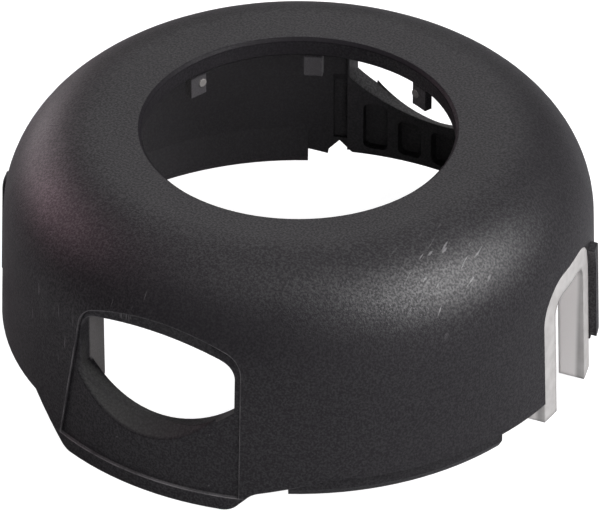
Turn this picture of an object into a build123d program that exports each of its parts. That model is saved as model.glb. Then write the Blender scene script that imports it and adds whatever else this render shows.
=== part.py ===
"""Trimmer spool cover: a moulded bowl with a knob hole, two thumb windows and two line eyelets."""
from build123d import *
import os
from math import cos, radians, sin, sqrt, tan

os.makedirs("parts", exist_ok=True)

# Turned bowl in millimetres, with the lowest edge at zero and the knob hole on top
height = 50.0
shoulder_r = 58.0
shoulder_round = 19.8
wall = 2.5
draft = 2.0
main_edge_z = 7.8
knob_hole_r = 30.65
rim_deep = 4.3
rim_thick = 2.0
rim_round = 0.6

# How far a cut runs past a face, and how far one solid runs into another
over = 1.0

# Index tabs that hang from the rim of the knob hole, with turns in degrees
tab_count = 8
tab_turn = 24.7
tab_span = 7.0
tab_deep = 9.1
tab_inset = 0.35

# Thumb windows: a stepped frame, a deep shelf at the top and the opening through the wall
window_crown_z = 38.7
window_centre = 1.5
window_arch_r = 38.0
window_left_top = 16.1
window_left_low = 21.9
window_right = 18.9
window_corner = 5.0
window_line_z = 3.0
window_step = 0.6
shelf_inset = 3.0
opening_crown_z = 35.4
opening_rise = 2.0
opening_left = 16.4
opening_right = 17.6
opening_corner = 4.0

# Scooped edge of the thumb panel, which sits higher on the rear side
scoop_r = 25.0
scoop_low_z = 15.3
scoop_flare = 4.0
scoop_depth = 3.5
scoop_shift = -3.0
rear_rise = 3.2

# Rib behind the left jamb of each window
rib_wide = 2.0
rib_inset = 11.4
rib_low_z = 14.0

# Thick panel behind the thumb area, with a row of blind pockets in its inner face
panel_span = 20.8
panel_inset = 4.0
panel_low_z = 7.6
panel_foot_z = 5.9
panel_knee_z = 30.0
panel_turn_z = 32.0
panel_top_z = 39.2
panel_top_inset = 4.6
panel_top_thick = 2.4
pocket_count = 4
pocket_pitch = 7.9
pocket_turn = 1.25
pocket_wide = 5.1
pocket_deep = 1.7
pocket_low_z = 8.8
pocket_under_arc = 2.2

# Relief groove and notch beside each panel
groove_from = 19.4
groove_to = 22.6
groove_floor_inset = 1.1
groove_low_z = 9.0
groove_top_z = 25.0
groove_slope = 2.0
notch_turn = 21.4
notch_span = 2.4
notch_peak_z = 8.2
notch_side_z = 5.6

# Low edge of the wall: a tongue in front, a shorter one at the rear, and slopes up to the main edge
tongue_left = 20.5
tongue_right = 17.5
tongue_round = 4.0
step_right = 21.6
step_right_z = 4.3
rear_left = 25.0
rear_low_z = 4.2
rear_under_z = 8.3
flank_left_to = 31.0
flank_right_to = 36.0

# Spigot skirt, a little inside the wall, and the small stop beside each line exit
skirt_from = 28.0
skirt_to = 73.5
skirt_inset = 0.7
skirt_thick = 2.5
skirt_low_z = 3.1
skirt_chamfer = 0.9
skirt_slope = 1.6
skirt_root_z = 11.0
stop_turn = 79.0
stop_span = 1.6
stop_low_z = 6.6

# Line exits, the raised ear beside each one and the metal eyelets that sit in them
exit_turn = 96.2
exit_half = 11.7
exit_crown_z = 33.7
exit_corner = 8.0
ear_proud = 1.3
ear_wide = 3.0
ear_top_z = 29.8
eyelet_band = 4.6
eyelet_inset = 0.3
eyelet_deep = 5.6
eyelet_lap = 1.5
eyelet_lap_thick = 1.6
eyelet_gap = 0.1
eyelet_foot_z = 1.2
eyelet_near_z = 3.2

arc_centre_r = shoulder_r - shoulder_round
arc_centre_z = height - shoulder_round
far_r = shoulder_r + shoulder_round / 2
rim_out_r = knob_hole_r + rim_thick
top_in_r = knob_hole_r / 2
rim_low_z = height - rim_deep
shelf_r = shoulder_r - shelf_inset
panel_r = shoulder_r - panel_inset
floor_r = shoulder_r - groove_floor_inset
half_turn = 180.0


def wall_r(z, inset=0.0):
    """Radius of the drafted wall at a height below the shoulder, moved inward by the inset."""
    lean = radians(draft)
    bend = shoulder_round - inset
    return arc_centre_r + bend * cos(lean) + (arc_centre_z + bend * sin(lean) - z) * tan(lean)


def across(turn):
    """Distance across a radial plane at which the wall stands at a turn from its middle."""
    return shoulder_r * sin(radians(turn))


def radial_plane(turn):
    """Plane through the axis that faces outward at a turn; its x runs round the wall and its y is up."""
    a = radians(turn)
    return Plane(origin=(0, 0, 0), x_dir=(cos(a), sin(a), 0), z_dir=(sin(a), -cos(a), 0))


def section_plane(turn):
    """Plane that holds the axis at a turn; its x is the radius and its y is up."""
    a = radians(turn)
    return Plane(origin=(0, 0, 0), x_dir=(sin(a), -cos(a), 0), z_dir=(-cos(a), -sin(a), 0))


def sector(points, start, end, mode=Mode.ADD):
    """Turns a section through the given points about the axis, from one turn to another."""
    with BuildSketch(section_plane(start)) as face:
        with BuildLine():
            Polyline(*points, close=True)
        make_face()
    return revolve(face.sketch, axis=Axis.Z, revolution_arc=end - start, mode=mode)


def shell_section(outer_inset, inner_inset, low_z):
    """Closed section of a layer of the bowl wall between two insets; its flat top runs in under the hole."""
    outer_round = shoulder_round - outer_inset
    inner_round = shoulder_round - inner_inset
    lean = radians(draft)
    side = cos(lean), sin(lean)
    a = (top_in_r, height - outer_inset)
    b = (arc_centre_r, height - outer_inset)
    c = (arc_centre_r + outer_round * side[0], arc_centre_z + outer_round * side[1])
    d = (wall_r(low_z, outer_inset), low_z)
    e = (wall_r(low_z, inner_inset), low_z)
    f = (arc_centre_r + inner_round * side[0], arc_centre_z + inner_round * side[1])
    g = (arc_centre_r, height - inner_inset)
    h = (top_in_r, height - inner_inset)
    with BuildSketch(Plane.XZ) as face:
        with BuildLine():
            Line(a, b)
            RadiusArc(b, c, outer_round)
            Polyline(c, d, e, f)
            RadiusArc(f, g, -inner_round)
            Polyline(g, h, a)
        make_face()
    return face.sketch


def layer(outline, outer_inset, inner_inset, low_z):
    """The part of a wall layer that lies behind an outline drawn in a radial plane."""
    section = shell_section(outer_inset, inner_inset, low_z)
    ring = revolve(section, axis=Axis.Z, mode=Mode.PRIVATE)
    prism = extrude(outline, amount=far_r, mode=Mode.PRIVATE)
    return ring & prism


def window_outline(turn, rise):
    """Sketch of the window frame: an arched top, a sloping left side and an upright right side."""
    crown = (window_centre, window_crown_z)
    reach = window_right - window_centre
    side_z = window_crown_z - window_arch_r + sqrt(window_arch_r**2 - reach**2)
    low_z = window_line_z + rise
    with BuildSketch(radial_plane(turn)) as face:
        with BuildLine():
            Polyline(
                (-window_left_top, side_z), (-window_left_low, low_z), (window_right, low_z),
                (window_right, side_z),
            )
            ThreePointArc((window_right, side_z), crown, (-window_left_top, side_z))
        make_face()
        fillet(face.vertices().sort_by(Axis.Y)[-2:], window_corner)
    return face.sketch


def exit_outline(turn, grow, low_z):
    """Sketch of a line exit: straight sides, a flat crown and round corners, open at the low edge."""
    top_z = exit_crown_z + grow
    with BuildSketch(radial_plane(turn)) as face:
        with Locations((0, (top_z + low_z) / 2)):
            Rectangle(2 * (exit_half + grow), top_z - low_z)
        fillet(face.vertices().sort_by(Axis.Y)[-2:], exit_corner + grow)
    return face.sketch


def scoop_edge(x, rise):
    """Height of the scooped edge of the thumb panel at a distance across it."""
    return scoop_low_z + rise + scoop_r - sqrt(scoop_r**2 - x**2)


def beyond(start, end):
    """Point on the line from one point through another, well above the main edge."""
    reach_z = 2 * main_edge_z
    share = (reach_z - start[1]) / (end[1] - start[1])
    return start[0] + share * (end[0] - start[0]), reach_z


def tongue(turn, foot):
    """Prism that keeps the wall below the main edge, on a foot line with sloping flanks."""
    left = beyond(foot[0], (-across(flank_left_to), main_edge_z))
    right = beyond(foot[-1], (across(flank_right_to), main_edge_z))
    with BuildSketch(radial_plane(turn)) as face:
        with BuildLine():
            Polyline(left, *foot, right, close=True)
        make_face()
        fillet(face.vertices().sort_by(Axis.Y)[:len(foot)], tongue_round)
    return extrude(face.sketch, amount=far_r, mode=Mode.PRIVATE)


def panel(turn):
    """Adds the thick panel behind the thumb area."""
    top_r = shoulder_r - panel_top_inset
    block = [
        (panel_r, panel_low_z), (wall_r(panel_foot_z, over), panel_foot_z),
        (wall_r(panel_knee_z, over), panel_knee_z), (top_r, panel_top_z),
        (top_r - panel_top_thick, panel_top_z), (panel_r, panel_turn_z),
    ]
    sector(block, turn - panel_span, turn + groove_from)


def rear_under(turn):
    """Slopes the underside of the rear panel, so its inner edge ends higher than the wall."""
    slope = [
        (panel_r - over, -over), (panel_r - over, rear_under_z),
        (wall_r(rear_low_z, over / 2), rear_low_z - over / 4), (wall_r(rear_low_z, over / 2), -over),
    ]
    sector(slope, turn - flank_left_to, turn + groove_to, mode=Mode.SUBTRACT)


def skirt(turn):
    """Adds the spigot skirt below the main edge, with a sloping foot, and the small stop beside it."""
    outer = shoulder_r - skirt_inset
    inner = outer - skirt_thick
    foot = [
        (inner, skirt_low_z + skirt_slope), (inner + skirt_chamfer, skirt_low_z),
        (outer - skirt_chamfer, skirt_low_z), (outer, skirt_low_z + skirt_slope),
        (outer, main_edge_z + over), (wall_r(skirt_root_z, wall) + over / 2, skirt_root_z),
        (wall_r(skirt_root_z, wall), skirt_root_z),
    ]
    sector(foot, turn + skirt_from, turn + skirt_to)
    stop = [
        (inner + over, stop_low_z), (outer, stop_low_z), (outer, main_edge_z + over),
        (inner + over, main_edge_z + over),
    ]
    sector(stop, turn + stop_turn, turn + stop_turn + stop_span)


def ear(turn):
    """Adds the raised ear along the far side of a line exit."""
    low_z = main_edge_z + over
    with BuildSketch(radial_plane(turn)) as face:
        with Locations((exit_half + ear_wide / 2 - over, (low_z + ear_top_z) / 2)):
            Rectangle(ear_wide + 2 * over, ear_top_z - low_z)
        fillet(face.vertices().sort_by(Axis.Y)[-2:], ear_wide / 2)
    add(layer(face.sketch, -ear_proud, over, 0.0))


def rib(turn):
    """Adds the upright rib behind the left jamb of the window."""
    start = shoulder_r - rib_inset
    plane = radial_plane(turn).offset(start)
    tall = opening_crown_z - rib_low_z
    with BuildSketch(plane) as face:
        with Locations((-opening_left - rib_wide / 2, rib_low_z + tall / 2)):
            Rectangle(rib_wide, tall)
    extrude(face.sketch, amount=sqrt(panel_r**2 - opening_left**2) + over / 2 - start)


def window(turn, rise):
    """Cuts the stepped window frame, its scooped lower edge and the opening behind it."""
    outline = window_outline(turn, rise)
    add(layer(outline, -over, window_step, 0.0), mode=Mode.SUBTRACT)
    centre_z = scoop_edge(0.0, rise) + scoop_r
    far_scoop = scoop_r + (far_r - shelf_r) * scoop_flare / scoop_depth
    with BuildSketch(section_plane(turn)) as half:
        with BuildLine():
            Polyline(
                (shelf_r, centre_z), (shelf_r, centre_z - scoop_r),
                (far_r, centre_z - far_scoop), (far_r, centre_z), close=True,
            )
        make_face()
    a = radians(turn)
    scoop_axis = Axis((0, 0, centre_z), (sin(a), -cos(a), 0))
    scoop = revolve(half.sketch, axis=scoop_axis, mode=Mode.PRIVATE)
    scoop = scoop.moved(Location((scoop_shift * cos(a), scoop_shift * sin(a), 0)))
    add(extrude(outline, amount=far_r, mode=Mode.PRIVATE) & scoop, mode=Mode.SUBTRACT)
    left_low = (-opening_left, scoop_edge(opening_left, rise))
    left_top = (-opening_left, opening_crown_z - opening_rise)
    right_low = (opening_right, scoop_edge(opening_right, rise))
    right_top = (opening_right, opening_crown_z - opening_rise)
    with BuildSketch(radial_plane(turn)) as opening:
        with BuildLine():
            Line(left_low, left_top)
            ThreePointArc(left_top, (0, opening_crown_z), right_top)
            Line(right_top, right_low)
            ThreePointArc(right_low, (0, scoop_edge(0.0, rise)), left_low)
        make_face()
        fillet(opening.vertices().sort_by(Axis.Y)[-2:], opening_corner)
    extrude(opening.sketch, amount=shelf_r + over, mode=Mode.SUBTRACT)


def pockets(turn, rise):
    """Cuts the row of blind pockets with round ends in the inner face of the panel."""
    for index in range(pocket_count):
        place = pocket_turn + (index - (pocket_count - 1) / 2) * pocket_pitch
        top_z = scoop_edge(panel_r * sin(radians(place)), rise) - pocket_under_arc
        with BuildSketch(radial_plane(turn + place)) as face:
            with Locations((0, (pocket_low_z + top_z) / 2)):
                Rectangle(pocket_wide, top_z - pocket_low_z)
            fillet(face.vertices(), pocket_wide / 4)
        extrude(face.sketch, amount=panel_r + pocket_deep, mode=Mode.SUBTRACT)


def relief(turn, notch_reach):
    """Cuts the groove beside the panel and the notch at its foot."""
    groove = [
        (panel_r - over, groove_low_z), (floor_r, groove_low_z), (floor_r, groove_top_z - groove_slope),
        (wall_r(groove_top_z, wall), groove_top_z), (panel_r - over, groove_top_z),
    ]
    sector(groove, turn + groove_from, turn + groove_to, mode=Mode.SUBTRACT)
    half = across(notch_span)
    with BuildSketch(radial_plane(turn + notch_turn)) as vee:
        with BuildLine():
            Polyline(
                (-half, -over), (-half, notch_side_z), (0, notch_peak_z), (half, notch_side_z),
                (half, -over), close=True,
            )
        make_face()
    extrude(vee.sketch, amount=notch_reach, mode=Mode.SUBTRACT)


front_foot = [
    (-across(tongue_left), 0), (across(tongue_right), 0), (across(step_right), step_right_z),
]
rear_foot = [(-across(rear_left), rear_low_z), (across(step_right), rear_low_z)]

with BuildPart() as cover:
    revolve(shell_section(0.0, wall, -over), axis=Axis.Z)
    hole = [
        (0, height - 2 * wall), (rim_out_r, height - 2 * wall),
        (rim_out_r, height + over), (0, height + over),
    ]
    sector(hole, 0, 360, mode=Mode.SUBTRACT)
    low_in = shoulder_r - 2 * panel_inset
    low_section = [(low_in, -2 * over), (far_r, -2 * over), (far_r, main_edge_z), (low_in, main_edge_z)]
    low_ring = sector(low_section, 0, 360, mode=Mode.PRIVATE)
    low_ring = low_ring - tongue(0.0, front_foot) - tongue(half_turn, rear_foot)
    add(low_ring, mode=Mode.SUBTRACT)
    rim = [
        (knob_hole_r, height - rim_round), (knob_hole_r, rim_low_z + rim_round),
        (knob_hole_r + rim_round, rim_low_z), (rim_out_r, rim_low_z), (rim_out_r, height),
        (knob_hole_r + rim_round, height),
    ]
    sector(rim, 0, 360)
    blade = [
        (knob_hole_r + tab_inset, height - tab_deep), (rim_out_r, height - tab_deep),
        (rim_out_r, height - wall), (knob_hole_r + tab_inset, height - wall),
    ]
    for number in range(tab_count):
        middle = tab_turn + number * 360 / tab_count
        sector(blade, middle - tab_span / 2, middle + tab_span / 2)
    for side in (0.0, half_turn):
        panel(side)
        skirt(side)
        ear(side + exit_turn)
    rear_under(half_turn)
    for side, rise, notch_reach in ((0.0, 0.0, floor_r), (half_turn, rear_rise, far_r)):
        window(side, rise)
        rib(side)
        pockets(side, rise)
        relief(side, notch_reach)
        slot = exit_outline(side + exit_turn, 0.0, -over)
        extrude(slot, amount=far_r, mode=Mode.SUBTRACT)
cover.part.label = "spool_cover"
export_step(cover.part, "parts/spool_cover.step")


def eyelet(turn):
    """Adds one metal eyelet: a thick band that lines the exit and a lap behind the wall."""
    band = (-eyelet_gap, eyelet_inset, eyelet_deep, eyelet_foot_z)
    lap = (eyelet_lap, wall, wall + eyelet_lap_thick, main_edge_z)
    for grow, outer, inner, low_z in (band, lap):
        outline = exit_outline(turn, grow, low_z)
        add(layer(outline, outer, inner, 0.0))
    way_out = exit_outline(turn, -eyelet_band, -over)
    extrude(way_out, amount=far_r, mode=Mode.SUBTRACT)
    with BuildSketch(radial_plane(turn)) as near_foot:
        with Locations((-exit_half, eyelet_near_z / 2)):
            Rectangle(exit_half, eyelet_near_z)
    extrude(near_foot.sketch, amount=far_r, mode=Mode.SUBTRACT)


with BuildPart() as eyelet_a:
    eyelet(exit_turn)
eyelet_a.part.label = "line_eyelet_a"
export_step(eyelet_a.part, "parts/line_eyelet_a.step")

with BuildPart() as eyelet_b:
    eyelet(exit_turn + half_turn)
eyelet_b.part.label = "line_eyelet_b"
export_step(eyelet_b.part, "parts/line_eyelet_b.step")
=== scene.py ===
"""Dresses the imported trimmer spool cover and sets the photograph's camera, light and floor."""

import logging
import math
from dataclasses import dataclass, field
from enum import Enum

import bmesh
import bpy
from mathutils import Matrix, Vector


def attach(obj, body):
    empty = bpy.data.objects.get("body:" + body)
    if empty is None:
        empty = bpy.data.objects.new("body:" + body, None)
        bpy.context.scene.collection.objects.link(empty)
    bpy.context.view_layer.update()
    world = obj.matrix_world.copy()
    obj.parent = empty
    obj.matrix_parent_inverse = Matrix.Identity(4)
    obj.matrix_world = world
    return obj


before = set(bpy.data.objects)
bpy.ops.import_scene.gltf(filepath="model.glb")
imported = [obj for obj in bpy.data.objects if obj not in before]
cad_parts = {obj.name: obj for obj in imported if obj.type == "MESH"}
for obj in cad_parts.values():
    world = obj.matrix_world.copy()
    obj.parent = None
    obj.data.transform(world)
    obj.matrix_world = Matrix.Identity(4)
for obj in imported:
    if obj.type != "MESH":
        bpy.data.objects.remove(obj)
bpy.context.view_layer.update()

logging.basicConfig(level=logging.INFO, format="%(message)s")
LOG = logging.getLogger("spool_cover")

# Places of the colour sockets on Blender's Mix node.
MIX_FIRST = 6
MIX_SECOND = 7
MIX_RESULT = 2

Colour = tuple[float, float, float]
Point = tuple[float, float, float]
Range = tuple[float, float]
Socket = bpy.types.NodeSocket


class Node(Enum):
    """Names of the CAD nodes."""

    COVER = "spool_cover"
    EYELET_A = "line_eyelet_a"
    EYELET_B = "line_eyelet_b"


class Slot(Enum):
    """Names of the record's material slots."""

    EYELET = "eyelet"


@dataclass(frozen=True)
class CoverPlaces:
    """Places on the cover that its finish depends on, in metres where nothing else is said.

    Attributes:
        draft: slope of the wall, as radius lost per height.
        window_side: distances from the middle over which a window side begins.
        window_top: heights over which the edge wear and painted highlight above a window fade.
        arch: heights over which the arch of a window begins.
        outer_wall: drafted radii between the stepped frame and the outer wall.
        scoop_wall: drafted radii between a scoop and the stepped frame.
        scoop_side: distances from the middle over which a scoop begins.
        scoop_top: heights over which the painted highlight of a scoop fades.
        scoop_left: products of x and y from the right end of a scoop to its left end, in square metres.
        ledge_z: height of the ledge under the front window.
        ledge_half: half the height of the worn, painted-highlight line on the ledge.
        ledge_front: y values over which the front ledge ends.
        rib_across: distances across a window between which its rib stands.
        rib_depth: distances from the middle between which a rib takes its painted highlight.
        rib_top: height that the rib faces stay below.
        inward: products of place and normal from a face that looks inward to one that does not.
        rim_low: heights over which the rim of the knob hole begins.
        lip_r: radii over which the chamfer of the knob hole ends.
        lip_z: heights over which the chamfer begins.
    """

    draft: float = 0.0349
    window_side: Range = (0.050, 0.053)
    window_top: Range = (0.036, 0.040)
    arch: Range = (0.031, 0.033)
    outer_wall: Range = (0.0586, 0.0589)
    scoop_wall: Range = (0.0580, 0.0584)
    scoop_side: Range = (0.0525, 0.0535)
    scoop_top: Range = (0.024, 0.028)
    scoop_left: Range = (-0.0009, 0.0004)
    ledge_z: float = 0.0030
    ledge_half: float = 0.0001
    ledge_front: Range = (-0.052, -0.050)
    rib_across: Range = (0.0160, 0.0190)
    rib_depth: Range = (0.0462, 0.0515)
    rib_top: float = 0.037
    inward: Range = (-0.024, -0.012)
    rim_low: Range = (0.0452, 0.0456)
    lip_r: Range = (0.03120, 0.03135)
    lip_z: Range = (0.0490, 0.0493)


@dataclass(frozen=True)
class PlasticFinish:
    """Black moulded plastic with a fine grain, a soft sheen, light wear and some painted light and
    highlights.

    Attributes:
        dark: colour in the darker cloud of the moulding.
        light: colour in the lighter cloud.
        cloud_scale: clouds per metre.
        roughness: lowest and highest roughness.
        rough_scale: rough patches per metre.
        grain_scale: grains per metre.
        grain_depth: depth of the grain in metres.
        grain_strength: strength of the grain.
        sparkle_scale: bright grains per metre in the sheen.
        sparkle: lowest and highest strength of the sheen.
        inside: colour of the inward-facing faces, painted lighter to stand in for the light that reaches
            them.
        scoop: painted highlight colour on the scoop faces.
        rib: painted highlight colour on the rib faces behind the left jambs.
        lip_sheen: share of the sheen that the chamfer of the knob hole keeps.
        wear: colour of scratches and specks.
        stroke_scale: strokes per metre across and along a scratch.
        stroke_share: share of the wear colour on a scratch.
        speck_scale: cells per metre that may hold a speck.
        speck_size: distances over which a speck ends, in cells.
        speck_share: share of the wear colour on the brightest speck.
        edge_wear_and_highlight: colour of the worn edges round the thumb windows, partly a painted
            highlight where the sharp edges catch the light.
        edge_patch_scale: patches per metre on the worn, highlighted edges.
        edge_round: radius in metres that the light sees on sharp edges.
        ledge_wear_and_highlight: share of the wear and painted highlight on the ledge under the front
            window.
    """

    dark: Colour = (0.0132, 0.0119, 0.0140)
    light: Colour = (0.0160, 0.0145, 0.0168)
    cloud_scale: float = 38.0
    roughness: Range = (0.38, 0.44)
    rough_scale: float = 140.0
    grain_scale: float = 4300.0
    grain_depth: float = 0.00010
    grain_strength: float = 0.62
    sparkle_scale: float = 2300.0
    sparkle: Range = (0.30, 0.78)
    inside: Colour = (0.056, 0.053, 0.057)
    scoop: Colour = (0.050, 0.049, 0.049)
    rib: Colour = (0.20, 0.19, 0.19)
    lip_sheen: float = 0.16
    wear: Colour = (0.30, 0.29, 0.30)
    stroke_scale: Range = (1500.0, 190.0)
    stroke_share: float = 0.42
    speck_scale: float = 150.0
    speck_size: Range = (0.016, 0.034)
    speck_share: float = 0.5
    edge_wear_and_highlight: Colour = (0.24, 0.23, 0.24)
    edge_patch_scale: float = 260.0
    edge_round: float = 0.00035
    ledge_wear_and_highlight: float = 0.3


@dataclass(frozen=True)
class MetalFinish:
    """Matte cast metal with a slight mottle and a lining painted bright as painted light.

    Attributes:
        dark: colour in the darker mottle of the outer face.
        light: colour in the lighter mottle of the outer face.
        inner: colour of the lining, painted bright to stand in for the light on the jamb.
        face_r: radii in metres between which the lining passes into the outer face.
        mottle_scale: mottles per metre.
        roughness: lowest and highest roughness.
        rough_scale: rough patches per metre.
        grain_scale: grains per metre.
        grain_depth: depth of the grain in metres.
        grain_strength: strength of the grain.
        metallic: share of metal reflection.
        edge_round: radius in metres that the light sees on sharp edges.
    """

    dark: Colour = (0.42, 0.405, 0.40)
    light: Colour = (0.49, 0.475, 0.47)
    inner: Colour = (0.92, 0.885, 0.875)
    face_r: Range = (0.0566, 0.0574)
    mottle_scale: float = 420.0
    roughness: Range = (0.52, 0.68)
    rough_scale: float = 700.0
    grain_scale: float = 1800.0
    grain_depth: float = 0.0001
    grain_strength: float = 0.35
    metallic: float = 0.10
    edge_round: float = 0.0012


Finish = PlasticFinish | MetalFinish


@dataclass(frozen=True)
class Scratch:
    """A patch of fine scratches on the cover.

    Attributes:
        centre: middle of the patch in metres.
        reach: radius of the patch in metres.
        lean: turn of the strokes about the up axis, in degrees.
        tip: turns of the strokes about the other two axes, in radians.
    """

    centre: Point
    reach: float
    lean: float
    tip: Range = (0.5, 0.3)


class NodeTree:
    """Small helper that adds and links shader nodes."""

    def __init__(self, name: str) -> None:
        """Starts an empty node material.

        Args:
            name: name of the material.
        """
        self.material = bpy.data.materials.new(name)
        self.material.use_nodes = True
        self.nodes = self.material.node_tree.nodes
        self.links = self.material.node_tree.links
        self.nodes.clear()
        self.output = self.nodes.new("ShaderNodeOutputMaterial")
        self.coords = self.nodes.new("ShaderNodeTexCoord")

    def add(self, kind: str, **settings: object) -> bpy.types.Node:
        """Adds a node and sets its properties.

        Args:
            kind: Blender's name for the node type.
            settings: properties of the node.

        Returns:
            The new node.
        """
        node = self.nodes.new(kind)
        for key, value in settings.items():
            setattr(node, key, value)
        return node

    def join(self, source: Socket, target: Socket) -> None:
        """Links two sockets.

        Args:
            source: output socket.
            target: input socket.
        """
        self.links.new(source, target)

    def place(self) -> Socket:
        """Gives the place on the object, in metres.

        Returns:
            The Object coordinate socket.
        """
        return self.coords.outputs["Object"]

    def noise(self, scale: float, detail: float, source: Socket | None = None) -> Socket:
        """Adds a noise texture.

        Args:
            scale: features per metre.
            detail: octaves of finer noise.
            source: coordinates, or None for the place on the object.

        Returns:
            The factor socket.
        """
        node = self.add("ShaderNodeTexNoise")
        node.inputs["Scale"].default_value = scale
        node.inputs["Detail"].default_value = detail
        self.join(source or self.place(), node.inputs["Vector"])
        return node.outputs["Fac"]

    def span(self, source: Socket, given: Range, wanted: Range) -> Socket:
        """Maps one range of values to another and holds it there.

        Args:
            source: values to map.
            given: start and end of the first range.
            wanted: start and end of the second range.

        Returns:
            The result socket.
        """
        node = self.add("ShaderNodeMapRange", clamp=True)
        for key, value in zip(("From Min", "From Max", "To Min", "To Max"), (*given, *wanted)):
            node.inputs[key].default_value = value
        self.join(source, node.inputs["Value"])
        return node.outputs["Result"]

    def math(self, operation: str, a: Socket, b: Socket | float) -> Socket:
        """Adds a maths node.

        Args:
            operation: Blender's name for the operation.
            a: first value.
            b: second value, a socket or a number.

        Returns:
            The result socket.
        """
        node = self.add("ShaderNodeMath", operation=operation)
        self.join(a, node.inputs[0])
        if isinstance(b, (int, float)):
            node.inputs[1].default_value = b
        else:
            self.join(b, node.inputs[1])
        return node.outputs["Value"]

    def rise(self, source: Socket, given: Range) -> Socket:
        """Makes a mask that grows from nought to one over a range.

        Args:
            source: values to look at.
            given: start and end of the range.

        Returns:
            The mask socket.
        """
        return self.span(source, given, (0.0, 1.0))

    def fall(self, source: Socket, given: Range) -> Socket:
        """Makes a mask that falls from one to nought over a range.

        Args:
            source: values to look at.
            given: start and end of the range.

        Returns:
            The mask socket.
        """
        return self.span(source, given, (1.0, 0.0))

    def size(self, source: Socket) -> Socket:
        """Drops the sign of a value.

        Args:
            source: value to look at.

        Returns:
            The size socket.
        """
        return self.math("ABSOLUTE", source, 0.0)

    def product(self, *masks: Socket) -> Socket:
        """Multiplies several masks.

        Args:
            masks: masks to multiply.

        Returns:
            The result socket.
        """
        result = masks[0]
        for mask in masks[1:]:
            result = self.math("MULTIPLY", result, mask)
        return result

    def facing(self, normal: Socket, way: Socket) -> Socket:
        """Gives the dot product of a normal and another vector.

        Args:
            normal: normal of the face.
            way: vector to compare it with.

        Returns:
            The result socket.
        """
        node = self.add("ShaderNodeVectorMath", operation="DOT_PRODUCT")
        self.join(normal, node.inputs[0])
        self.join(way, node.inputs[1])
        return node.outputs["Value"]

    def axes(self) -> tuple[Socket, Socket, Socket, Socket]:
        """Splits the place on the object.

        Returns:
            The x, y and z sockets, and the distance from the axis.
        """
        split = self.add("ShaderNodeSeparateXYZ")
        self.join(self.place(), split.inputs["Vector"])
        x, y, z = (split.outputs[key] for key in "XYZ")
        square = self.math("ADD", self.product(x, x), self.product(y, y))
        return x, y, z, self.math("SQRT", square, 0.0)

    def band(self, source: Socket, given: Range, soft: float) -> Socket:
        """Makes a mask that is one between two values.

        Args:
            source: values to look at.
            given: start and end of the band.
            soft: width of the fade at both ends.

        Returns:
            The mask socket.
        """
        low, high = given
        return self.product(self.rise(source, (low - soft, low)), self.fall(source, (high, high + soft)))

    def rounded(self, radius: float, samples: int) -> Socket:
        """Makes a normal that is rounded at sharp edges.

        Args:
            radius: radius of the edges in metres.
            samples: rays used for each edge.

        Returns:
            The normal socket.
        """
        node = self.add("ShaderNodeBevel", samples=samples)
        node.inputs["Radius"].default_value = radius
        return node.outputs["Normal"]

    def grain(self, shader: bpy.types.Node, look: Finish, height: Socket, edge: Socket) -> None:
        """Gives a shader its grain and joins it to the output.

        Args:
            shader: shader of the material.
            look: finish that holds the depth and strength of the grain.
            height: height of the grain.
            edge: normal that is rounded at the edges.
        """
        bump = self.add("ShaderNodeBump")
        bump.inputs["Strength"].default_value = look.grain_strength
        bump.inputs["Distance"].default_value = look.grain_depth
        self.join(height, bump.inputs["Height"])
        self.join(edge, bump.inputs["Normal"])
        self.join(bump.outputs["Normal"], shader.inputs["Normal"])
        self.join(shader.outputs["BSDF"], self.output.inputs["Surface"])

    def blend(self, factor: Socket, a: Colour | Socket, b: Colour) -> Socket:
        """Mixes two colours.

        Args:
            factor: share of the second colour.
            a: first colour, or a socket that gives it.
            b: second colour.

        Returns:
            The colour socket.
        """
        node = self.add("ShaderNodeMix", data_type="RGBA")
        self.join(factor, node.inputs["Factor"])
        if isinstance(a, tuple):
            node.inputs[MIX_FIRST].default_value = (*a, 1.0)
        else:
            self.join(a, node.inputs[MIX_FIRST])
        node.inputs[MIX_SECOND].default_value = (*b, 1.0)
        return node.outputs[MIX_RESULT]


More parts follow.
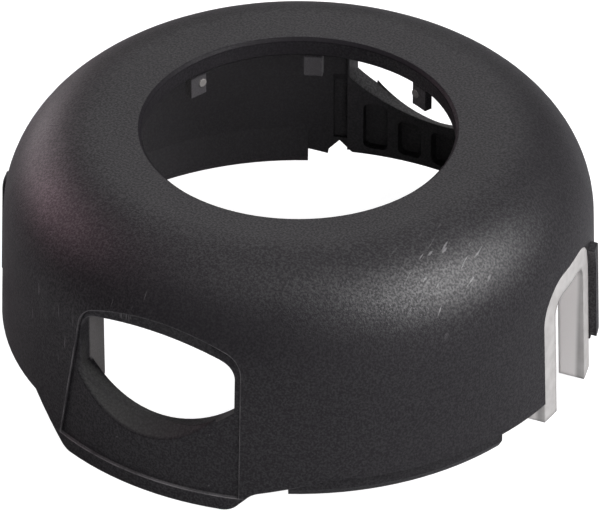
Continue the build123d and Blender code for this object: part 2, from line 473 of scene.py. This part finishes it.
@dataclass
class CoverDressing:
    """Looks of the moulded cover.

    Attributes:
        finish: plastic of the cover.
        places: places that the finish depends on.
        scratches: patches of fine scratches.
    """

    finish: PlasticFinish = field(default_factory=PlasticFinish)
    places: CoverPlaces = field(default_factory=CoverPlaces)
    scratches: tuple[Scratch, ...] = (
        Scratch((-0.0252, -0.0523, 0.0274), 0.011, 62.0),
        Scratch((0.0462, -0.0225, 0.0450), 0.013, 18.0),
        Scratch((-0.0090, -0.0548, 0.0400), 0.009, 100.0),
    )

    def scratch_mask(self, tree: NodeTree, scratch: Scratch) -> Socket:
        """Makes the strokes of one patch.

        Args:
            tree: material that is being made.
            scratch: patch of strokes.

        Returns:
            A mask that is one on a stroke.
        """
        across, along = self.finish.stroke_scale
        turn = tree.add("ShaderNodeMapping")
        turn.inputs["Rotation"].default_value = (*scratch.tip, math.radians(scratch.lean))
        turn.inputs["Scale"].default_value = (across, along, along)
        tree.join(tree.place(), turn.inputs["Vector"])
        strokes = tree.rise(tree.noise(1.0, 1.0, turn.outputs["Vector"]), (0.67, 0.74))
        away = tree.add("ShaderNodeVectorMath", operation="DISTANCE")
        tree.join(tree.place(), away.inputs[0])
        away.inputs[1].default_value = scratch.centre
        return tree.product(strokes, tree.fall(away.outputs["Value"], (scratch.reach / 2, scratch.reach)))

    def specks(self, tree: NodeTree) -> Socket:
        """Makes pale specks of dust, most of them faint.

        Args:
            tree: material that is being made.

        Returns:
            A mask that is one on the brightest speck.
        """
        cells = tree.add("ShaderNodeTexVoronoi")
        cells.inputs["Scale"].default_value = self.finish.speck_scale
        tree.join(tree.place(), cells.inputs["Vector"])
        dot = tree.fall(cells.outputs["Distance"], self.finish.speck_size)
        split = tree.add("ShaderNodeSeparateColor")
        tree.join(cells.outputs["Color"], split.inputs["Color"])
        some = tree.rise(split.outputs["Red"], (0.40, 1.0))
        return tree.product(dot, tree.math("POWER", some, 2.0))

    def drafted_radius(self, tree: NodeTree, radius: Socket, z: Socket) -> Socket:
        """Gives the radius with the wall's draft taken out, so the outer wall has one value.

        Args:
            tree: material that is being made.
            radius: distance from the axis.
            z: height.

        Returns:
            The drafted radius.
        """
        return tree.math("ADD", radius, tree.math("MULTIPLY", z, self.places.draft))

    def worn_and_lit_edges(self, tree: NodeTree, edge: Socket) -> Socket:
        """Makes the edge wear and painted highlight on the sharp edges of the window frames and on the
        front ledge.

        Args:
            tree: material that is being made.
            edge: normal that is rounded at the edges.

        Returns:
            A mask that is one on a worn, highlighted edge.
        """
        at = self.places
        plain = tree.add("ShaderNodeNewGeometry")
        sharp = tree.fall(tree.facing(plain.outputs["Normal"], edge), (0.90, 0.985))
        _, y, z, radius = tree.axes()
        side = tree.rise(tree.size(y), at.window_side)
        outer = tree.rise(self.drafted_radius(tree, radius, z), at.outer_wall)
        framed = tree.math("MAXIMUM", outer, tree.rise(z, at.arch))
        # Edge wear and painted highlight on the sharp frame edges round the windows.
        frame_wear_and_highlight = tree.product(sharp, side, tree.fall(z, at.window_top), framed)
        # Painted highlight, with some wear, on the upward face of the front ledge.
        line = (at.ledge_z - at.ledge_half, at.ledge_z + at.ledge_half)
        front = tree.span(y, at.ledge_front, (self.finish.ledge_wear_and_highlight, 0.0))
        ledge = tree.product(tree.band(z, line, at.ledge_half), front)
        patchy = tree.span(tree.noise(self.finish.edge_patch_scale, 2.0), (0.30, 0.60), (0.25, 1.0))
        return tree.product(tree.math("MAXIMUM", frame_wear_and_highlight, ledge), patchy)

    def inner_faces(self, tree: NodeTree) -> Socket:
        """Finds the faces that look at the axis, below the rim of the knob hole.

        Args:
            tree: material that is being made.

        Returns:
            A mask that is one on an inner face.
        """
        plain = tree.add("ShaderNodeNewGeometry")
        inward = tree.fall(tree.facing(plain.outputs["True Normal"], tree.place()), self.places.inward)
        _, _, z, _ = tree.axes()
        return tree.product(inward, tree.fall(z, self.places.rim_low))

    def rib_highlights(self, tree: NodeTree) -> Socket:
        """Finds the rib faces behind the left jambs of the two windows, which take a painted highlight.

        Args:
            tree: material that is being made.

        Returns:
            A mask that is one on a rib.
        """
        at = self.places
        x, y, z, _ = tree.axes()
        across = tree.band(tree.size(x), at.rib_across, 0.0002)
        depth = tree.band(tree.size(y), at.rib_depth, 0.0008)
        left = tree.math("GREATER_THAN", tree.product(x, y), 0.0)
        return tree.product(across, depth, left, tree.math("LESS_THAN", z, at.rib_top))

    def scoop_highlights(self, tree: NodeTree) -> Socket:
        """Finds the painted highlight in each scoop, brighter at its left end.

        Args:
            tree: material that is being made.

        Returns:
            A mask that is one on the brightest part of the painted highlight.
        """
        at = self.places
        x, y, z, radius = tree.axes()
        deep = tree.fall(self.drafted_radius(tree, radius, z), at.scoop_wall)
        side = tree.rise(tree.size(y), at.scoop_side)
        left = tree.span(tree.product(x, y), at.scoop_left, (0.2, 1.0))
        return tree.product(deep, side, tree.fall(z, at.scoop_top), left)

    def hole_lip(self, tree: NodeTree) -> Socket:
        """Finds the chamfer round the knob hole, which is duller than the top.

        Args:
            tree: material that is being made.

        Returns:
            A mask that is one on the chamfer.
        """
        _, _, z, radius = tree.axes()
        return tree.product(tree.fall(radius, self.places.lip_r), tree.rise(z, self.places.lip_z))

    def colour(self, tree: NodeTree, edge: Socket) -> Socket:
        """Lays the dust, the wear, the painted light and the painted highlights over the plain plastic.

        Args:
            tree: material that is being made.
            edge: normal that is rounded at the edges.

        Returns:
            The colour socket.
        """
        look = self.finish
        cloud = tree.rise(tree.noise(look.cloud_scale, 4.0), (0.35, 0.65))
        result = tree.blend(cloud, look.dark, look.light)
        # Painted light: faces below the rim that look at the axis are painted lighter.
        result = tree.blend(self.inner_faces(tree), result, look.inside)
        # Painted highlight on the scoops, brighter at their left ends.
        result = tree.blend(self.scoop_highlights(tree), result, look.scoop)
        # Painted highlight on the rib faces behind the left jambs.
        result = tree.blend(self.rib_highlights(tree), result, look.rib)
        for scratch in self.scratches:
            strokes = tree.math("MULTIPLY", self.scratch_mask(tree, scratch), look.stroke_share)
            result = tree.blend(strokes, result, look.wear)
        result = tree.blend(tree.math("MULTIPLY", self.specks(tree), look.speck_share), result, look.wear)
        # Edge wear and painted highlight: the sharp window-frame edges and the front ledge are painted
        # pale.
        return tree.blend(self.worn_and_lit_edges(tree, edge), result, look.edge_wear_and_highlight)

    def material(self) -> bpy.types.Material:
        """Makes the plastic.

        Returns:
            The material.
        """
        look = self.finish
        tree = NodeTree("cover_plastic")
        edge = tree.rounded(look.edge_round, 6)
        shader = tree.add("ShaderNodeBsdfPrincipled")
        tree.join(self.colour(tree, edge), shader.inputs["Base Color"])
        sparkle = tree.span(tree.noise(look.sparkle_scale, 1.0), (0.38, 0.68), look.sparkle)
        dull = tree.span(self.hole_lip(tree), (0.0, 1.0), (1.0, look.lip_sheen))
        tree.join(tree.product(sparkle, dull), shader.inputs["Specular IOR Level"])
        rough = tree.span(tree.noise(look.rough_scale, 3.0), (0.3, 0.7), look.roughness)
        tree.join(rough, shader.inputs["Roughness"])
        tree.grain(shader, look, tree.noise(look.grain_scale, 2.0), edge)
        return tree.material

    def dress(self) -> None:
        """Puts the plastic on the cover's node."""
        repaint(Node.COVER, self.material())


@dataclass
class EyeletDressing:
    """Looks of the two metal eyelets.

    Attributes:
        finish: metal of the eyelets.
    """

    finish: MetalFinish = field(default_factory=MetalFinish)

    def material(self, name: str) -> bpy.types.Material:
        """Makes the metal.

        Args:
            name: name of the material.

        Returns:
            The material.
        """
        look = self.finish
        tree = NodeTree(name)
        mottle = tree.rise(tree.noise(look.mottle_scale, 4.0), (0.35, 0.65))
        _, _, _, radius = tree.axes()
        # Painted light: the lining inside face_r takes the bright inner colour.
        lining = tree.fall(radius, look.face_r)
        shader = tree.add("ShaderNodeBsdfPrincipled")
        shader.inputs["Metallic"].default_value = look.metallic
        colour = tree.blend(lining, tree.blend(mottle, look.dark, look.light), look.inner)
        tree.join(colour, shader.inputs["Base Color"])
        rough = tree.span(tree.noise(look.rough_scale, 3.0), (0.3, 0.7), look.roughness)
        tree.join(rough, shader.inputs["Roughness"])
        tree.grain(shader, look, tree.noise(look.grain_scale, 3.0), tree.rounded(look.edge_round, 4))
        return tree.material

    def dress(self) -> None:
        """Puts the metal on both eyelet nodes."""
        metal = self.material("eyelet_metal")
        for node in (Node.EYELET_A, Node.EYELET_B):
            repaint(node, metal)


@dataclass
class TabPins:
    """Pale ends of the small pins in four of the index tabs.

    Attributes:
        turns: turns of the pins in degrees from the front window.
        face_r: radius of the tabs' inner face in metres.
        height: height of the pins above the origin in metres.
        radius: radius of a pin in metres.
        proud: how far a pin stands out of its tab in metres.
        sunk: how far a pin runs into its tab in metres.
        sides: sides of a pin.
        end_share: share of the proud part that its rounded edge takes.
        finish: dull metal of the pins.
    """

    turns: tuple[float, ...] = (67.9, 161.7, 247.9, 341.7)
    face_r: float = 0.0310
    height: float = 0.0436
    radius: float = 0.0009
    proud: float = 0.00025
    sunk: float = 0.0006
    sides: int = 24
    end_share: float = 0.6
    finish: MetalFinish = MetalFinish(inner=(0.20, 0.19, 0.185), edge_round=0.0001)

    def pin(self, mesh: bmesh.types.BMesh, turn: float) -> None:
        """Adds one pin that points at the axis, with a rounded end.

        Args:
            mesh: mesh that takes the pin.
            turn: turn of the pin in degrees.
        """
        length = self.proud + self.sunk
        middle = self.face_r + (self.sunk - self.proud) / 2
        spin = Matrix.Rotation(math.radians(turn), 4, "Z")
        lie = Matrix.Rotation(math.radians(90.0), 4, "X")
        place = spin @ Matrix.Translation((0.0, -middle, self.height)) @ lie
        made = bmesh.ops.create_cone(
            mesh,
            cap_ends=True,
            segments=self.sides,
            radius1=self.radius,
            radius2=self.radius,
            depth=length,
            matrix=place,
        )
        near = [v for v in made["verts"] if math.hypot(v.co.x, v.co.y) < middle]
        rim = [e for e in mesh.edges if e.verts[0] in near and e.verts[1] in near]
        bmesh.ops.bevel(
            mesh,
            geom=rim,
            offset=self.proud * self.end_share,
            affect="EDGES",
            segments=2,
            profile=0.5,
            material=-1,
        )

    def build(self) -> None:
        """Adds all the pins as one piece."""
        shape = bmesh.new()
        for turn in self.turns:
            self.pin(shape, turn)
        data = bpy.data.meshes.new("tab_pins")
        shape.to_mesh(data)
        shape.free()
        data.materials.append(EyeletDressing(self.finish).material("pin_metal"))
        piece = bpy.data.objects.new("tab_pins", data)
        bpy.context.scene.collection.objects.link(piece)
        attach(piece, "root")
        LOG.info("piece tab_pins: %d pins", len(self.turns))


@dataclass(frozen=True)
class SoftBox:
    """One soft studio lamp.

    Attributes:
        name: name of the lamp.
        azimuth: side that it stands on, in degrees from the front window.
        elevation: height above the horizon in degrees.
        distance: distance from the object in metres.
        size: width of the lamp in metres.
        power: power in watts.
        colour: colour of the light.
        glossy: whether the lamp shows in sheens.
        aim: height of the point that it is aimed at, in metres.
    """

    name: str
    azimuth: float
    elevation: float
    distance: float
    size: float
    power: float
    colour: Colour = (1.0, 1.0, 1.0)
    glossy: bool = True
    aim: float = 0.025

    def build(self) -> None:
        """Adds the lamp, aimed at the middle of the object."""
        data = bpy.data.lights.new(self.name, "AREA")
        data.size = self.size
        data.energy = self.power
        data.color = self.colour
        lamp = bpy.data.objects.new(self.name, data)
        turn = math.radians(self.azimuth)
        lift = math.radians(self.elevation)
        way = Vector((math.sin(turn) * math.cos(lift), -math.cos(turn) * math.cos(lift), math.sin(lift)))
        lamp.location = way * self.distance + Vector((0, 0, self.aim))
        lamp.visible_glossy = self.glossy
        lamp.rotation_euler = way.to_track_quat("Z", "Y").to_euler()
        bpy.context.scene.collection.objects.link(lamp)
        LOG.info("lamp %s", self.name)


@dataclass
class Studio:
    """Floor, backdrop and lamps.

    Attributes:
        floor_size: side of the floor in metres.
        floor_drop: how far the floor lies below the object, in metres.
        floor_colour: colour that the floor gives back.
        floor_glow: light that only the camera sees on the floor.
        backdrop: strength of the even light from all round.
        lamps: soft lamps.
    """

    floor_size: float = 4.0
    floor_drop: float = 0.0004
    floor_colour: Colour = (0.30, 0.30, 0.31)
    floor_glow: float = 0.97
    backdrop: float = 0.10
    lamps: tuple[SoftBox, ...] = (
        SoftBox("key", 100.0, 41.0, 0.9, 0.55, 9.2),
        SoftBox("top", 20.0, 84.0, 1.1, 0.9, 1.9),
        SoftBox("rear", 208.0, 38.0, 1.2, 0.9, 1.9),
        SoftBox("left", -90.0, 22.0, 1.0, 0.5, 1.7, (1.0, 0.62, 0.74)),
        SoftBox("edge", -112.0, 5.0, 0.7, 0.3, 0.7, (1.0, 0.90, 0.94)),
        SoftBox("fill", 50.0, 25.0, 0.9, 0.5, 3.8, glossy=False),
    )

    def floor(self) -> None:
        """Adds the pale floor, white to the camera apart from a faint shadow."""
        half = self.floor_size / 2
        mesh = bpy.data.meshes.new("floor")
        corners = [(-half, -half, 0), (half, -half, 0), (half, half, 0), (-half, half, 0)]
        mesh.from_pydata(corners, [], [(0, 1, 2, 3)])
        plane = bpy.data.objects.new("floor", mesh)
        plane.location.z = -self.floor_drop
        bpy.context.scene.collection.objects.link(plane)
        tree = NodeTree("floor_white")
        cloth = tree.add("ShaderNodeBsdfDiffuse")
        cloth.inputs["Color"].default_value = (*self.floor_colour, 1.0)
        glow = tree.add("ShaderNodeEmission")
        glow.inputs["Color"].default_value = (1.0, 1.0, 1.0, 1.0)
        glow.inputs["Strength"].default_value = self.floor_glow
        path = tree.add("ShaderNodeLightPath")
        seen = tree.add("ShaderNodeMixShader")
        both = tree.add("ShaderNodeAddShader")
        tree.join(cloth.outputs["BSDF"], both.inputs[0])
        tree.join(glow.outputs["Emission"], both.inputs[1])
        tree.join(path.outputs["Is Camera Ray"], seen.inputs[0])
        tree.join(cloth.outputs["BSDF"], seen.inputs[1])
        tree.join(both.outputs["Shader"], seen.inputs[2])
        tree.join(seen.outputs["Shader"], tree.output.inputs["Surface"])
        mesh.materials.append(tree.material)
        LOG.info("floor")

    def world(self) -> None:
        """Sets an even pale backdrop."""
        world = bpy.data.worlds.new("studio")
        world.use_nodes = True
        back = world.node_tree.nodes["Background"]
        back.inputs["Color"].default_value = (1.0, 1.0, 1.0, 1.0)
        back.inputs["Strength"].default_value = self.backdrop
        bpy.context.scene.world = world

    def build(self) -> None:
        """Builds the whole studio."""
        self.floor()
        self.world()
        for lamp in self.lamps:
            lamp.build()


@dataclass
class PhotoCamera:
    """Camera that sees the object as the photograph does.

    Attributes:
        turn: side that the camera stands on, in degrees from the front window.
        lift: elevation in degrees.
        distance: distance along the view in metres.
        frame_px: width of the photograph in pixels.
        focal_px: focal length in pixels of that width.
        clip: nearest and farthest distance that is drawn, in metres.
        offset: place of the picture's middle from the knob hole's middle, across and up, in metres.
        top: height of the knob hole in metres.
    """

    turn: float = 30.0
    lift: float = 35.67
    distance: float = 1.293
    frame_px: float = 600.0
    focal_px: float = 6640.8
    clip: Range = (0.05, 20.0)
    offset: Range = (0.0003, -0.0251)
    top: float = 0.050

    def build(self) -> None:
        """Adds the camera and makes it the scene's own."""
        data = bpy.data.cameras.new("photo_camera")
        data.sensor_fit = "HORIZONTAL"
        data.sensor_width = 36.0
        data.lens = self.focal_px * data.sensor_width / self.frame_px
        data.clip_start, data.clip_end = self.clip
        spin = Matrix.Rotation(math.radians(self.turn), 3, "Z")
        lift = math.radians(self.lift)
        right = spin @ Vector((1, 0, 0))
        up = spin @ Vector((0, math.sin(lift), math.cos(lift)))
        back = spin @ Vector((0, -math.cos(lift), math.sin(lift)))
        across, rise = self.offset
        place = Vector((0, 0, self.top)) + right * across + up * rise + back * self.distance
        camera = bpy.data.objects.new("photo_camera", data)
        camera.matrix_world = Matrix.Translation(place) @ Matrix((right, up, back)).transposed().to_4x4()
        bpy.context.scene.collection.objects.link(camera)
        bpy.context.scene.camera = camera
        LOG.info("camera at %s", tuple(round(v, 3) for v in place))


def repaint(node: Node, material: bpy.types.Material) -> None:
    """Gives a CAD node a new material and leaves its mesh as it is.

    Args:
        node: node to repaint.
        material: material for all its slots.
    """
    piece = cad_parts[node.value]
    for slot in piece.material_slots:
        slot.link = "OBJECT"
        slot.material = material
    LOG.info("material %s on %s", material.name, node.value)


def main() -> None:
    """Builds the camera, the studio and the finishes."""
    scene = bpy.context.scene
    scene.view_settings.view_transform = "Standard"
    scene.view_settings.look = "None"
    PhotoCamera().build()
    Studio().build()
    CoverDressing().dress()
    EyeletDressing().dress()
    TabPins().build()


if __name__ == "__main__":
    main()
